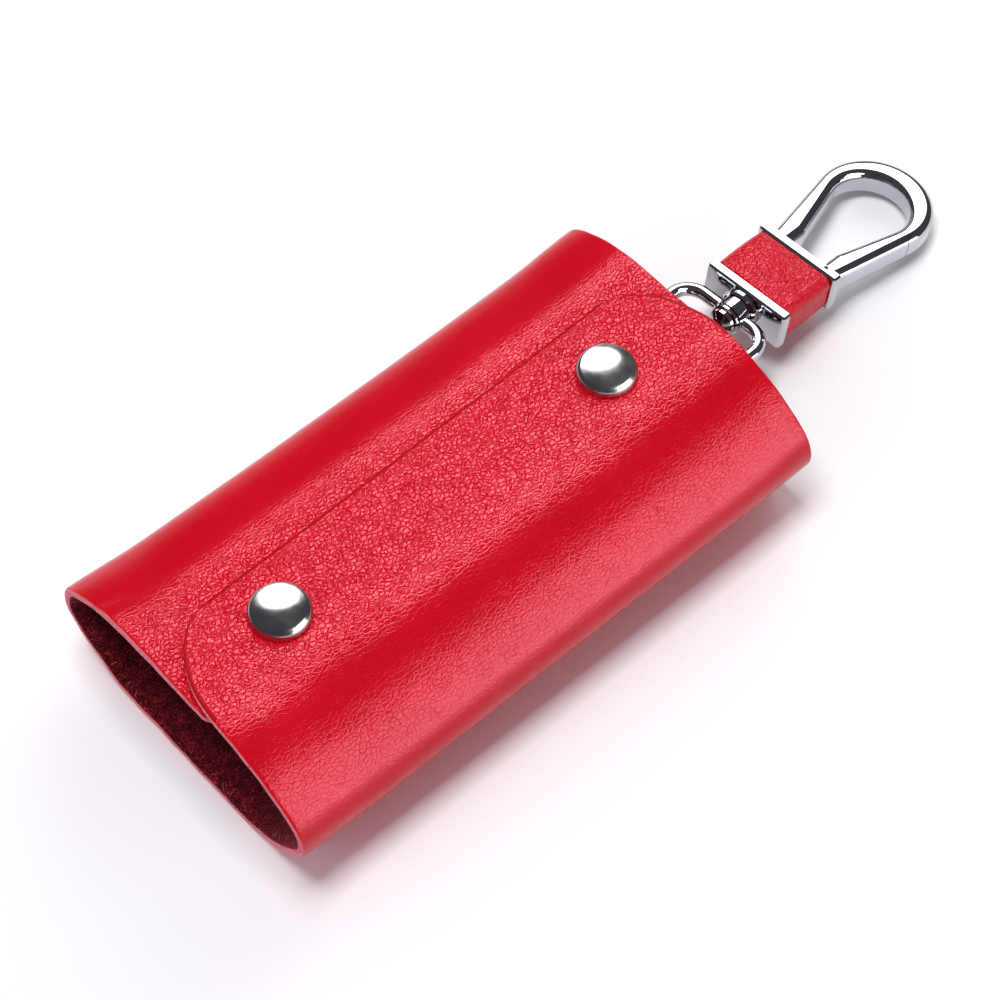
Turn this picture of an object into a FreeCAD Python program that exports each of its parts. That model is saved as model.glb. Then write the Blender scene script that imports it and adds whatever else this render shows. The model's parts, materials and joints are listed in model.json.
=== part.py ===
import FreeCAD, Part
import math
import os
from FreeCAD import Placement, Rotation, Vector

# A leather key case with two snaps, six key hooks inside and a swivel clip at one end.
# Millimetres. +X runs along the case towards the clip, +Z is up, and the flat back of the case
# lies on z = 0. The outer flap folds over from -Y, the inner flap from +Y.

# Leather case
CASE_LENGTH = 105.0
CASE_WIDTH = 58.3
CASE_HEIGHT = 24.4
LEATHER = 1.8
FOLD_HEIGHT = 12.0
BACK_HALF_FLAT = 11.5
OUTER_FOLD_RADIUS = 6.0
INNER_FOLD_RADIUS = 7.0
SPLIT_ANGLE = 30.0
FLAP_GAP = 0.5
FLAP_EDGE_GAP = 0.25
CROWN_HALF_FLAT = 5.0
OUTER_EDGE_Y = 10.1
OUTER_EDGE_SKEW = 2.4
INNER_SHOULDER_Y = 11.5
INNER_EDGE_Y = -8.5
OUTER_CORNER = 13.0
INNER_CORNER = 6.0

# Snap fasteners
SNAP_INSET = 19.25
SNAP_Y = -1.2
CAP_RADIUS = 5.0
CAP_RIM = 0.7
CAP_RIM_ROUND = 0.25
CAP_SHOULDER = 1.4
CAP_DOME_TILT = 24.0
CAP_SHANK_RADIUS = 1.2
SOCKET_RADIUS = 3.0
SOCKET_WALL = 0.5
STUD_FLANGE_RADIUS = 3.4
STUD_FLANGE = 0.3
KNOB_RADIUS = 1.7
KNOB_NECK_RADIUS = 1.4
KNOB_HEIGHT = 1.15
POST_FLANGE_RADIUS = 3.6
POST_FLANGE = 0.4
POST_BARREL_RADIUS = 1.0

# Key plate and its rivets
PLATE = 1.0
PLATE_HALF_WIDTH = 11.0
PLATE_INSET = 12.5
PLATE_DEPTH = 9.0
LIP_ABOVE_HOOKS = 2.6
LIP_SHOULDER_Z = 5.4
LIP_CORNER = 1.5
RIVET_RADIUS = 1.5
RIVET_HEAD_RADIUS = 2.6
RIVET_HEAD = 0.8
RIVET_SPACING = 15.0

# Key hooks
HOOK_COUNT = 6
HOOK_ROW_MARGIN = 8.15
HOOK_SPACE = 0.4
HOOK_Z = 7.0
HOOK_LENGTH = 24.0
HOOK_WALL = 0.95
HOOK_THICKNESS = 1.2
HOOK_SHANK_RADIUS = 1.0
HOOK_SHANK_LENGTH = 4.0
HOOK_COLLAR_RADIUS = 1.7
HOOK_COLLAR = 0.8
HOOK_ROOT = 2.6
HOOK_GAP_START = 5.6
HOOK_GAP_LENGTH = 10.0
HOOK_GATE = 0.35
HOOK_GATE_LAP = 2.0

# Eye on the plate, link ring and the ring's boss
EYE_CLEARANCE = 0.25
EYE_WIDTH = 5.0
EYE_Y = 0.3
EYE_Z = 11.2
RING_WIRE_RADIUS = 1.2
RING_LENGTH = 14.4
RING_WIDTH = 17.8
RING_CORNER = 4.0
RING_SHIFT = 0.9
RING_BOSS_RADIUS = 2.9
RING_BOSS_LENGTH = 2.4

# Swivel rivet between the ring and the clip
SWIVEL_RADIUS = 1.3
SWIVEL_HEAD_RADIUS = 2.4
SWIVEL_HEAD = 1.4
SWIVEL_WASHER_RADIUS = 2.8
SWIVEL_WASHER = 0.9
SWIVEL_COLLAR_RADIUS = 3.5
SWIVEL_COLLAR = 1.3
SWIVEL_TAIL = 4.0

# Clip body: two end plates, a leather-wrapped core and a loop with a gate
CLIP_YAW = 4.5
BAR_WIDTH = 16.9
BAR_HEIGHT = 7.5
BAR_THICKNESS = 2.0
BAR_EDGE = 0.35
SLEEVE_LENGTH = 11.2
SLEEVE_WIDTH = 15.8
SLEEVE_HEIGHT = 7.0
SLEEVE_LEATHER = 1.0
SLEEVE_CORNER = 1.3
LOOP_HEIGHT = 5.0
LOOP_ROOT_HALF_WIDTH = 7.2
LOOP_SHIFT = 0.4
LOOP_BULB_RADIUS = 10.5
LOOP_LENGTH = 29.5
LOOP_TIP_BAND = 4.5
LOOP_OPENING_RADIUS = 6.9
LOOP_OPENING_ROOT_HALF_WIDTH = 3.4
LOOP_OPENING_ROOT_LENGTH = 4.5
LOOP_EDGE = 1.5
FLOOR_GAP = 0.1

# Clip gate
GATE_SEAM_X = 17.6
GATE_SEAM_SLANT = 38.0
GATE_SEAM = 0.15
GATE_PIN_Y = -5.5
GATE_PIN_RADIUS = 0.55
GATE_BARREL_RADIUS = 1.5
GATE_BARREL_HEIGHT = 3.0
GATE_RELIEF = 25.0
GATE_SPRING = 0.25

# Clearances shared by mating pieces
RUNNING = 0.05
SNUG = 0.02
SIDE_PLAY = 0.1

# Worked-out places
HALF_LENGTH = CASE_LENGTH / 2
HALF_WIDTH = CASE_WIDTH / 2
OUTER_UNDERSIDE_Z = CASE_HEIGHT - LEATHER
INNER_TOP_Z = OUTER_UNDERSIDE_Z - FLAP_GAP
INNER_UNDERSIDE_Z = INNER_TOP_Z - LEATHER
SNAP_X = (SNAP_INSET - HALF_LENGTH, HALF_LENGTH - SNAP_INSET)
PLATE_X = HALF_LENGTH - PLATE_INSET
HOOK_PITCH = (CASE_WIDTH - 2 * HOOK_ROW_MARGIN) / HOOK_COUNT
HOOK_WIDTH = HOOK_PITCH - HOOK_SPACE
LIP_HALF_WIDTH = HOOK_COUNT * HOOK_PITCH / 2 + HOOK_SPACE
HOOK_Y = [HOOK_PITCH * (i - (HOOK_COUNT - 1) / 2) for i in range(HOOK_COUNT)]
RIVET_X = PLATE_X + PLATE_DEPTH / 2
RIVET_Y = (-RIVET_SPACING / 2, RIVET_SPACING / 2)
EYE_RADIUS = RING_WIRE_RADIUS + EYE_CLEARANCE
TAB_X = PLATE_X + PLATE_DEPTH - PLATE
EYE_X = TAB_X + EYE_RADIUS + PLATE

# Places along the clip, measured from the eye's axis
BOSS_END = RING_LENGTH + RING_BOSS_LENGTH / 2
COLLAR_START = BOSS_END + SIDE_PLAY
BAR_1 = COLLAR_START + SWIVEL_COLLAR
SLEEVE_START = BAR_1 + BAR_THICKNESS
BAR_2 = SLEEVE_START + SLEEVE_LENGTH
LOOP_START = BAR_2 + BAR_THICKNESS
CLIP_TIP = LOOP_START + LOOP_LENGTH
GATE_PIN_X = BAR_2 + BAR_THICKNESS / 2

UP = Vector(0, 0, 1)
ALONG = Vector(1, 0, 0)
ACROSS = Vector(0, 1, 0)


def clip_pitch():
    """Angle at which the clip hangs from the eye with the tip of its loop resting on the floor."""
    reach = math.hypot(CLIP_TIP, LOOP_HEIGHT / 2)
    lean = math.atan2(LOOP_HEIGHT / 2, CLIP_TIP)
    return math.degrees(math.asin((EYE_Z - FLOOR_GAP) / reach) - lean)


def clip_matrix():
    turn = Rotation(UP, CLIP_YAW).multiply(Rotation(ACROSS, clip_pitch()))
    return Placement(Vector(EYE_X, EYE_Y, EYE_Z), turn).toMatrix()


def on_clip(shape):
    """Move a shape from the clip's own frame, with +X along the clip, to its place on the case."""
    return shape.transformed(clip_matrix(), True)


def box(low, high):
    return Part.makeBox(high[0] - low[0], high[1] - low[1], high[2] - low[2], Vector(*low))


def rod(radius, start, direction, length):
    return Part.makeCylinder(radius, length, start, direction)


def line(a, b):
    return Part.LineSegment(a, b).toShape()


def prism(points, offset, direction):
    """Extrude a straight-sided outline."""
    outline = Part.makePolygon(points + [points[0]])
    return Part.Face(outline).extrude(direction * offset)


def revolved(edges, axis_point):
    """Turn a closed half-section about the vertical line through axis_point."""
    face = Part.Face(Part.Wire(Part.__sortEdges__(edges)))
    return face.revolve(Vector(0, 0, 0), UP, 360).translated(axis_point)


def turned(steps):
    """Turn a stepped half-section, given as (radius, height) corners, about the Z axis."""
    corners = [Vector(radius, 0, height) for radius, height in steps]
    outline = Part.makePolygon(corners + [corners[0]])
    return Part.Face(outline).revolve(Vector(0, 0, 0), UP, 360)


def fold_blend(run, rise, fold_radius):
    """Radius and sweep of the wide arc that leads from a flat into a fold."""
    sweep = 2 * math.atan2(rise - fold_radius, run - fold_radius)
    radius = fold_radius + (run - fold_radius) / math.sin(sweep)
    return radius, math.degrees(sweep)


def left_of(heading):
    angle = math.radians(heading)
    return Vector(0, -math.sin(angle), math.cos(angle))


def leather_strip(start, heading, segments):
    """Leather bent along a chain of tangent arcs and straights.

    start is on the outer face, the thickness lies to the left of the heading, and each segment is
    (outer radius, sweep in degrees) or (None, length).
    """
    point = Vector(-HALF_LENGTH, start[0], start[1])
    first_inside = point + left_of(heading) * LEATHER
    inside = first_inside
    edges = []
    for radius, amount in segments:
        if radius is None:
            forward = left_of(heading - 90)
            next_point = point + forward * amount
            next_inside = inside + forward * amount
            edges.append(line(point, next_point))
            edges.append(line(inside, next_inside))
        else:
            centre = point + left_of(heading) * radius
            halfway = left_of(heading + amount / 2)
            heading = heading + amount
            ending = left_of(heading)
            next_point = centre - ending * radius
            next_inside = centre - ending * (radius - LEATHER)
            middle = centre - halfway * radius
            middle_inside = centre - halfway * (radius - LEATHER)
            edges.append(Part.Arc(point, middle, next_point).toShape())
            edges.append(Part.Arc(inside, middle_inside, next_inside).toShape())
        point = next_point
        inside = next_inside
    edges.append(line(point, inside))
    edges.append(line(Vector(-HALF_LENGTH, start[0], start[1]), first_inside))
    section = Part.Face(Part.Wire(Part.__sortEdges__(edges)))
    return section.extrude(ALONG * CASE_LENGTH)


def fold_split(side, radius):
    """Point on the outer face where a flap leaves the back; side is -1 or +1."""
    angle = math.radians(SPLIT_ANGLE)
    y = HALF_WIDTH - radius + radius * math.cos(angle)
    z = FOLD_HEIGHT + radius * math.sin(angle)
    return side * y, z


def rounded_plan(fold_y, near_y, far_y, radius):
    """Upright block over a flap; its free edge runs from near_y to far_y between two rounded corners."""
    block = prism([
        Vector(-HALF_LENGTH, fold_y, 0),
        Vector(HALF_LENGTH, fold_y, 0),
        Vector(HALF_LENGTH, far_y, 0),
        Vector(-HALF_LENGTH, near_y, 0),
    ], 2 * CASE_HEIGHT, UP)
    upright = [edge for edge in block.Edges if edge.BoundBox.ZLength > CASE_HEIGHT]
    free = [edge for edge in upright if abs(edge.CenterOfMass.y - fold_y) > HALF_WIDTH]
    return block.makeFillet(radius, free)


def make_back_panel():
    split = fold_split(-1, OUTER_FOLD_RADIUS)
    run = HALF_WIDTH - BACK_HALF_FLAT
    wide_1, sweep_1 = fold_blend(run, FOLD_HEIGHT, OUTER_FOLD_RADIUS)
    wide_2, sweep_2 = fold_blend(run, FOLD_HEIGHT, INNER_FOLD_RADIUS)
    segments = [
        (OUTER_FOLD_RADIUS, 90 + SPLIT_ANGLE - sweep_1),
        (wide_1, sweep_1),
        (None, 2 * BACK_HALF_FLAT),
        (wide_2, sweep_2),
        (INNER_FOLD_RADIUS, 90 + SPLIT_ANGLE - sweep_2),
    ]
    panel = leather_strip(split, 270 - SPLIT_ANGLE, segments)
    for y in RIVET_Y:
        foot = Vector(RIVET_X, y, 0)
        panel = panel.cut(rod(RIVET_RADIUS + RUNNING, foot, UP, LEATHER))
        panel = panel.cut(rod(RIVET_HEAD_RADIUS + RUNNING, foot, UP, RIVET_HEAD + RUNNING))
    return panel


def make_outer_flap():
    reach = OUTER_EDGE_Y - CROWN_HALF_FLAT
    droop = FLAP_GAP - FLAP_EDGE_GAP
    droop_radius = (reach * reach + droop * droop) / (2 * droop)
    droop_sweep = math.degrees(math.asin(reach / droop_radius))
    wide, sweep = fold_blend(HALF_WIDTH - CROWN_HALF_FLAT, CASE_HEIGHT - FOLD_HEIGHT, OUTER_FOLD_RADIUS)
    segments = [
        (droop_radius, droop_sweep),
        (None, 2 * CROWN_HALF_FLAT),
        (wide, sweep),
        (OUTER_FOLD_RADIUS, 90 - SPLIT_ANGLE - sweep),
    ]
    flap = leather_strip((OUTER_EDGE_Y, CASE_HEIGHT - droop), 180 - droop_sweep, segments)
    near_edge_y = OUTER_EDGE_Y - OUTER_EDGE_SKEW
    flap = flap.common(rounded_plan(-CASE_WIDTH, near_edge_y, OUTER_EDGE_Y, OUTER_CORNER))
    for x in SNAP_X:
        foot = Vector(x, SNAP_Y, OUTER_UNDERSIDE_Z - LEATHER)
        flap = flap.cut(rod(SOCKET_RADIUS + RUNNING, foot, UP, 3 * LEATHER))
    return flap


def make_inner_flap():
    wide, sweep = fold_blend(HALF_WIDTH - INNER_SHOULDER_Y, INNER_TOP_Z - FOLD_HEIGHT, INNER_FOLD_RADIUS)
    over_wide = fold_blend(HALF_WIDTH - CROWN_HALF_FLAT, CASE_HEIGHT - FOLD_HEIGHT, OUTER_FOLD_RADIUS)[0]
    under_radius = over_wide - LEATHER - FLAP_GAP
    under_sweep = math.degrees(math.asin((-CROWN_HALF_FLAT - INNER_EDGE_Y) / under_radius))
    segments = [
        (INNER_FOLD_RADIUS, 90 - SPLIT_ANGLE - sweep),
        (wide, sweep),
        (None, INNER_SHOULDER_Y + CROWN_HALF_FLAT),
        (under_radius, under_sweep),
    ]
    flap = leather_strip(fold_split(1, INNER_FOLD_RADIUS), 90 + SPLIT_ANGLE, segments)
    flap = flap.common(rounded_plan(CASE_WIDTH, INNER_EDGE_Y, INNER_EDGE_Y, INNER_CORNER))
    for x in SNAP_X:
        foot = Vector(x, SNAP_Y, INNER_UNDERSIDE_Z - LEATHER)
        flap = flap.cut(rod(POST_BARREL_RADIUS + RUNNING, foot, UP, 3 * LEATHER))
    return flap


def ring_point(middle, radius, tilt):
    """Point of a circle in the XZ plane, at an angle in degrees from straight up."""
    turn = math.radians(tilt)
    return middle + Vector(math.sin(turn), 0, math.cos(turn)) * radius


def make_snap_cap(x):
    """Shallow dome on a rounded shoulder and an upright rim, and a shank down through the socket's web."""
    shoulder_middle = Vector(CAP_RADIUS - CAP_SHOULDER, 0, CAP_RIM)
    dome_edge = ring_point(shoulder_middle, CAP_SHOULDER, CAP_DOME_TILT)
    dome_radius = dome_edge.x / math.sin(math.radians(CAP_DOME_TILT))
    dome_middle = ring_point(dome_edge, -dome_radius, CAP_DOME_TILT)
    top = ring_point(dome_middle, dome_radius, 0)
    dome_half = ring_point(dome_middle, dome_radius, CAP_DOME_TILT / 2)
    shoulder_half = ring_point(shoulder_middle, CAP_SHOULDER, (CAP_DOME_TILT + 90) / 2)
    rim_top = ring_point(shoulder_middle, CAP_SHOULDER, 90)
    foot_middle = Vector(CAP_RADIUS - CAP_RIM_ROUND, 0, CAP_RIM_ROUND)
    rim_low = ring_point(foot_middle, CAP_RIM_ROUND, 90)
    foot_half = ring_point(foot_middle, CAP_RIM_ROUND, 135)
    foot = ring_point(foot_middle, CAP_RIM_ROUND, 180)
    shank_end = -SOCKET_WALL - SNUG
    edges = [
        Part.Arc(top, dome_half, dome_edge).toShape(),
        Part.Arc(dome_edge, shoulder_half, rim_top).toShape(),
        line(rim_top, rim_low),
        Part.Arc(rim_low, foot_half, foot).toShape(),
        line(foot, Vector(CAP_SHANK_RADIUS, 0, 0)),
        line(Vector(CAP_SHANK_RADIUS, 0, 0), Vector(CAP_SHANK_RADIUS, 0, shank_end)),
        line(Vector(CAP_SHANK_RADIUS, 0, shank_end), Vector(0, 0, shank_end)),
        line(Vector(0, 0, shank_end), top),
    ]
    return revolved(edges, Vector(x, SNAP_Y, CASE_HEIGHT))


def make_snap_socket(x):
    """Cup let into the outer flap, open below, with the cap's shank through its web."""
    hole = CAP_SHANK_RADIUS + SNUG
    cavity = SOCKET_RADIUS - SOCKET_WALL
    socket = turned([
        (hole, -SNUG),
        (SOCKET_RADIUS, -SNUG),
        (SOCKET_RADIUS, -LEATHER),
        (cavity, -LEATHER),
        (cavity, -SOCKET_WALL),
        (hole, -SOCKET_WALL),
    ])
    return socket.translated(Vector(x, SNAP_Y, CASE_HEIGHT))


def make_snap_stud(x):
    """Flanged stud whose rounded knob stands up into the socket."""
    bore = POST_BARREL_RADIUS + SNUG
    knob_top = STUD_FLANGE + KNOB_HEIGHT
    crown = (KNOB_RADIUS + bore) / 2
    stud = turned([
        (bore, 0),
        (STUD_FLANGE_RADIUS, 0),
        (STUD_FLANGE_RADIUS, STUD_FLANGE),
        (KNOB_NECK_RADIUS, STUD_FLANGE),
        (KNOB_RADIUS, STUD_FLANGE + KNOB_HEIGHT / 2),
        (crown, knob_top),
        (bore, knob_top),
    ])
    return stud.translated(Vector(x, SNAP_Y, INNER_TOP_Z))


def make_snap_post(x):
    """Flanged eyelet under the inner flap whose barrel is clenched inside the stud."""
    barrel_top = LEATHER + STUD_FLANGE + KNOB_HEIGHT
    post = turned([
        (0, -POST_FLANGE),
        (POST_FLANGE_RADIUS, -POST_FLANGE),
        (POST_FLANGE_RADIUS, 0),
        (POST_BARREL_RADIUS, 0),
        (POST_BARREL_RADIUS, barrel_top),
        (0, barrel_top),
    ])
    return post.translated(Vector(x, SNAP_Y, INNER_UNDERSIDE_Z))


def make_key_plate():
    """Bent steel plate: a riveted base, a wide lip with the hook holes and a rolled eye for the ring."""
    top = HOOK_Z + LIP_ABOVE_HOOKS
    base = box((PLATE_X, -PLATE_HALF_WIDTH, LEATHER),
               (PLATE_X + PLATE_DEPTH, PLATE_HALF_WIDTH, LEATHER + PLATE))
    lip = prism([
        Vector(PLATE_X, -PLATE_HALF_WIDTH, LEATHER),
        Vector(PLATE_X, PLATE_HALF_WIDTH, LEATHER),
        Vector(PLATE_X, LIP_HALF_WIDTH, LIP_SHOULDER_Z),
        Vector(PLATE_X, LIP_HALF_WIDTH, top - LIP_CORNER),
        Vector(PLATE_X, LIP_HALF_WIDTH - LIP_CORNER, top),
        Vector(PLATE_X, LIP_CORNER - LIP_HALF_WIDTH, top),
        Vector(PLATE_X, -LIP_HALF_WIDTH, top - LIP_CORNER),
        Vector(PLATE_X, -LIP_HALF_WIDTH, LIP_SHOULDER_Z),
    ], PLATE, ALONG)
    tab = box((TAB_X, EYE_Y - EYE_WIDTH / 2, LEATHER), (TAB_X + PLATE, EYE_Y + EYE_WIDTH / 2, EYE_Z))
    eye_foot = Vector(EYE_X, EYE_Y - EYE_WIDTH / 2, EYE_Z)
    roll = rod(EYE_RADIUS + PLATE, eye_foot, ACROSS, EYE_WIDTH)
    plate = base.fuse([lip, tab, roll]).removeSplitter()
    plate = plate.cut(rod(EYE_RADIUS, eye_foot, ACROSS, EYE_WIDTH))
    for y in HOOK_Y:
        plate = plate.cut(rod(HOOK_SHANK_RADIUS + RUNNING, Vector(PLATE_X, y, HOOK_Z), ALONG, PLATE))
    for y in RIVET_Y:
        plate = plate.cut(rod(RIVET_RADIUS + RUNNING, Vector(RIVET_X, y, LEATHER), UP, PLATE))
    return plate


def make_plate_rivet(y):
    """Rivet through the plate and the back, with its lower head let into the leather."""
    seat = LEATHER + PLATE
    head_edge = RIVET_HEAD / 3
    rivet = turned([
        (0, SIDE_PLAY),
        (RIVET_HEAD_RADIUS, SIDE_PLAY),
        (RIVET_HEAD_RADIUS, RIVET_HEAD),
        (RIVET_RADIUS, RIVET_HEAD),
        (RIVET_RADIUS, seat),
        (RIVET_HEAD_RADIUS, seat),
        (RIVET_HEAD_RADIUS, seat + head_edge),
        (RIVET_HEAD_RADIUS / 2, seat + RIVET_HEAD),
        (0, seat + RIVET_HEAD),
    ])
    return rivet.translated(Vector(RIVET_X, y, 0))


def slot_plate(start, length, half_width, thickness):
    """Flat stadium lying along -X from start, centred on y = 0, z = 0."""
    far = start - length
    low = Vector(0, 0, -thickness / 2)
    middle = box((far + half_width, -half_width, -thickness / 2),
                 (start - half_width, half_width, thickness / 2))
    near_end = rod(half_width, low + Vector(start - half_width, 0, 0), UP, thickness)
    far_end = rod(half_width, low + Vector(far + half_width, 0, 0), UP, thickness)
    return middle.fuse([near_end, far_end]).removeSplitter()


def make_key_hook(y):
    """Flat swivelling hook: a headed shank through the lip and a stadium with a gap in one side."""
    half = HOOK_WIDTH / 2
    inner_half = half - HOOK_WALL
    body_start = -HOOK_SHANK_LENGTH
    opening_start = body_start - HOOK_ROOT
    body = slot_plate(body_start, HOOK_LENGTH, half, HOOK_THICKNESS)
    opening = slot_plate(opening_start, HOOK_LENGTH - HOOK_ROOT - HOOK_WALL, inner_half, 2 * HOOK_THICKNESS)
    gap_start = body_start - HOOK_GAP_START
    seat_y = inner_half - HOOK_GATE - 2 * SNUG
    step = box((gap_start, seat_y, -HOOK_THICKNESS / 2), (opening_start, half, HOOK_THICKNESS / 2))
    gap = box((gap_start - HOOK_GAP_LENGTH, inner_half - SNUG, -HOOK_THICKNESS),
              (gap_start, half + SNUG, HOOK_THICKNESS))
    body = body.cut(opening).fuse(step.common(body)).cut(gap)
    shank_end = PLATE + SIDE_PLAY + HOOK_COLLAR
    reach = shank_end + HOOK_SHANK_LENGTH + HOOK_ROOT / 2
    shank = rod(HOOK_SHANK_RADIUS, Vector(shank_end, 0, 0), -ALONG, reach)
    head = rod(HOOK_COLLAR_RADIUS, Vector(PLATE + SIDE_PLAY, 0, 0), ALONG, HOOK_COLLAR)
    collar = rod(HOOK_COLLAR_RADIUS, Vector(-SIDE_PLAY, 0, 0), -ALONG, HOOK_COLLAR)
    hook = body.fuse([shank, head, collar]).removeSplitter()
    return hook.translated(Vector(PLATE_X, y, HOOK_Z))


def make_key_gate(y):
    """Spring leaf that closes a hook's gap from inside and laps behind its nose."""
    inner_half = HOOK_WIDTH / 2 - HOOK_WALL
    start = -HOOK_SHANK_LENGTH - HOOK_GAP_START
    end = start - HOOK_GAP_LENGTH - HOOK_GATE_LAP
    outer = inner_half - SNUG
    leaf = box((end, outer - HOOK_GATE, -HOOK_THICKNESS / 2), (start - RUNNING, outer, HOOK_THICKNESS / 2))
    return leaf.translated(Vector(PLATE_X, y, HOOK_Z))


def make_link_ring():
    """Rounded rectangular ring of round wire, with a bored boss at the clip's side."""
    half = RING_WIDTH / 2
    corner = RING_CORNER
    cut = corner * (1 - math.cos(math.radians(45)))
    back_left = [Vector(corner, half, 0), Vector(cut, half - cut, 0), Vector(0, half - corner, 0)]
    back_right = [Vector(0, corner - half, 0), Vector(cut, cut - half, 0), Vector(corner, -half, 0)]
    near = RING_LENGTH - corner
    front_right = [Vector(near, -half, 0), Vector(RING_LENGTH - cut, cut - half, 0),
                   Vector(RING_LENGTH, corner - half, 0)]
    front_left = [Vector(RING_LENGTH, half - corner, 0), Vector(RING_LENGTH - cut, half - cut, 0),
                  Vector(near, half, 0)]
    corners = [back_left, back_right, front_right, front_left]
    edges = []
    for i, points in enumerate(corners):
        edges.append(Part.Arc(*points).toShape())
        edges.append(line(points[2], corners[(i + 1) % len(corners)][0]))
    path = Part.Wire(edges)
    section = Part.Wire(Part.makeCircle(RING_WIRE_RADIUS, corners[0][0], ALONG))
    wire = path.makePipeShell([section], True, False).translated(ACROSS * RING_SHIFT)
    boss_start = Vector(RING_LENGTH - RING_BOSS_LENGTH / 2, 0, 0)
    boss = rod(RING_BOSS_RADIUS, boss_start, ALONG, RING_BOSS_LENGTH)
    bore = rod(SWIVEL_RADIUS + RUNNING, boss_start, ALONG, RING_BOSS_LENGTH)
    return on_clip(wire.fuse(boss).cut(bore).removeSplitter())


def along_clip(shape, x):
    """Lay a shape turned about Z along the clip's axis, with its z = 0 at x."""
    turn = Placement(Vector(x, 0, 0), Rotation(ACROSS, 90)).toMatrix()
    return on_clip(shape.transformed(turn, True))


def make_swivel_washer():
    start = RING_LENGTH - RING_BOSS_LENGTH / 2 - SIDE_PLAY - SWIVEL_WASHER
    bulge = SWIVEL_WASHER / 4
    washer = turned([
        (SWIVEL_RADIUS + RUNNING, 0),
        (SWIVEL_WASHER_RADIUS - bulge, 0),
        (SWIVEL_WASHER_RADIUS, bulge),
        (SWIVEL_WASHER_RADIUS, SWIVEL_WASHER - bulge),
        (SWIVEL_WASHER_RADIUS - bulge, SWIVEL_WASHER),
        (SWIVEL_RADIUS + RUNNING, SWIVEL_WASHER),
    ])
    return along_clip(washer, start)


def make_swivel_post():
    """Rivet that turns in the ring's boss: rounded head, shank, shouldered collar and tail."""
    head_end = RING_LENGTH - RING_BOSS_LENGTH / 2 - 2 * SIDE_PLAY - SWIVEL_WASHER
    collar = COLLAR_START - head_end
    tail = BAR_1 - head_end
    edge = SWIVEL_COLLAR / 4
    post = turned([
        (0, -SWIVEL_HEAD),
        (SWIVEL_HEAD_RADIUS / 2, -SWIVEL_HEAD),
        (SWIVEL_HEAD_RADIUS, -SWIVEL_HEAD / 2),
        (SWIVEL_HEAD_RADIUS, 0),
        (SWIVEL_RADIUS, 0),
        (SWIVEL_RADIUS, collar),
        (SWIVEL_COLLAR_RADIUS - edge, collar),
        (SWIVEL_COLLAR_RADIUS, collar + edge),
        (SWIVEL_COLLAR_RADIUS, tail - edge),
        (SWIVEL_COLLAR_RADIUS - edge, tail),
        (SWIVEL_RADIUS, tail),
        (SWIVEL_RADIUS, tail + SWIVEL_TAIL),
        (0, tail + SWIVEL_TAIL),
    ])
    return along_clip(post, head_end)


def tangent_point(start, centre, radius):
    """Point where a line from start touches a circle on the side away from y = 0."""
    to_centre = centre - start
    angle = math.atan2(to_centre.y, to_centre.x) + math.asin(radius / to_centre.Length)
    reach = math.sqrt(to_centre.Length ** 2 - radius ** 2)
    return start + Vector(math.cos(angle), math.sin(angle), 0) * reach


def mirrored(point):
    return Vector(point.x, -point.y, point.z)


def teardrop(root, neck, centre, radius):
    """Closed face: a root edge, sides that run out to a round end; neck is None or a corner."""
    touch = tangent_point(neck or root, centre, radius)
    end = centre + ALONG * radius
    edges = [line(mirrored(root), root)]
    if neck:
        edges.append(line(root, neck))
        edges.append(line(mirrored(neck), mirrored(root)))
    edges.append(line(neck or root, touch))
    edges.append(Part.Arc(touch, end, mirrored(touch)).toShape())
    edges.append(line(mirrored(touch), mirrored(neck or root)))
    return Part.Face(Part.Wire(Part.__sortEdges__(edges)))


def whole_loop():
    """The clip's loop before the gate is parted from it, with rounded edges."""
    down = -LOOP_HEIGHT / 2
    outer_centre = Vector(CLIP_TIP - LOOP_BULB_RADIUS, 0, down)
    inner_centre = Vector(CLIP_TIP - LOOP_TIP_BAND - LOOP_OPENING_RADIUS, 0, down)
    outer = teardrop(Vector(LOOP_START, LOOP_ROOT_HALF_WIDTH, down), None, outer_centre, LOOP_BULB_RADIUS)
    root = Vector(LOOP_START, LOOP_OPENING_ROOT_HALF_WIDTH, down)
    neck = root + ALONG * LOOP_OPENING_ROOT_LENGTH
    opening = teardrop(root, neck, inner_centre, LOOP_OPENING_RADIUS)
    loop = outer.extrude(UP * LOOP_HEIGHT).cut(opening.extrude(UP * LOOP_HEIGHT))
    level = [edge for edge in loop.Edges
             if abs(abs(edge.CenterOfMass.z) - LOOP_HEIGHT / 2) < SNUG
             and edge.CenterOfMass.x > LOOP_START + SNUG]
    return loop.makeFillet(LOOP_EDGE, level).translated(-ACROSS * LOOP_SHIFT)


def seam_block(offset):
    """Everything on the root's side of the slanted seam, on the gate's half of the loop."""
    slant = math.tan(math.radians(GATE_SEAM_SLANT))
    seam_y = -(LOOP_OPENING_RADIUS + LOOP_BULB_RADIUS) / 2
    far = LOOP_START + GATE_SEAM_X + offset
    wide = 2 * LOOP_BULB_RADIUS
    corners = [
        Vector(LOOP_START - SNUG, 0, -LOOP_HEIGHT),
        Vector(far - slant * seam_y, 0, -LOOP_HEIGHT),
        Vector(far - slant * (wide + seam_y), -wide, -LOOP_HEIGHT),
        Vector(LOOP_START - SNUG, -wide, -LOOP_HEIGHT),
    ]
    return prism(corners, 2 * LOOP_HEIGHT, UP)


def gate_slot():
    """Pocket in the second end plate for the gate's barrel."""
    side = GATE_BARREL_RADIUS + 2 * SIDE_PLAY
    high = GATE_BARREL_HEIGHT / 2 + SIDE_PLAY
    inner_side = side + GATE_BARREL_RADIUS / 2
    return box((GATE_PIN_X - side, GATE_PIN_Y - side, -high), (LOOP_START, GATE_PIN_Y + inner_side, high))


def gate_pin_foot():
    return Vector(GATE_PIN_X, GATE_PIN_Y, -BAR_HEIGHT / 2 + BAR_EDGE)


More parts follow.
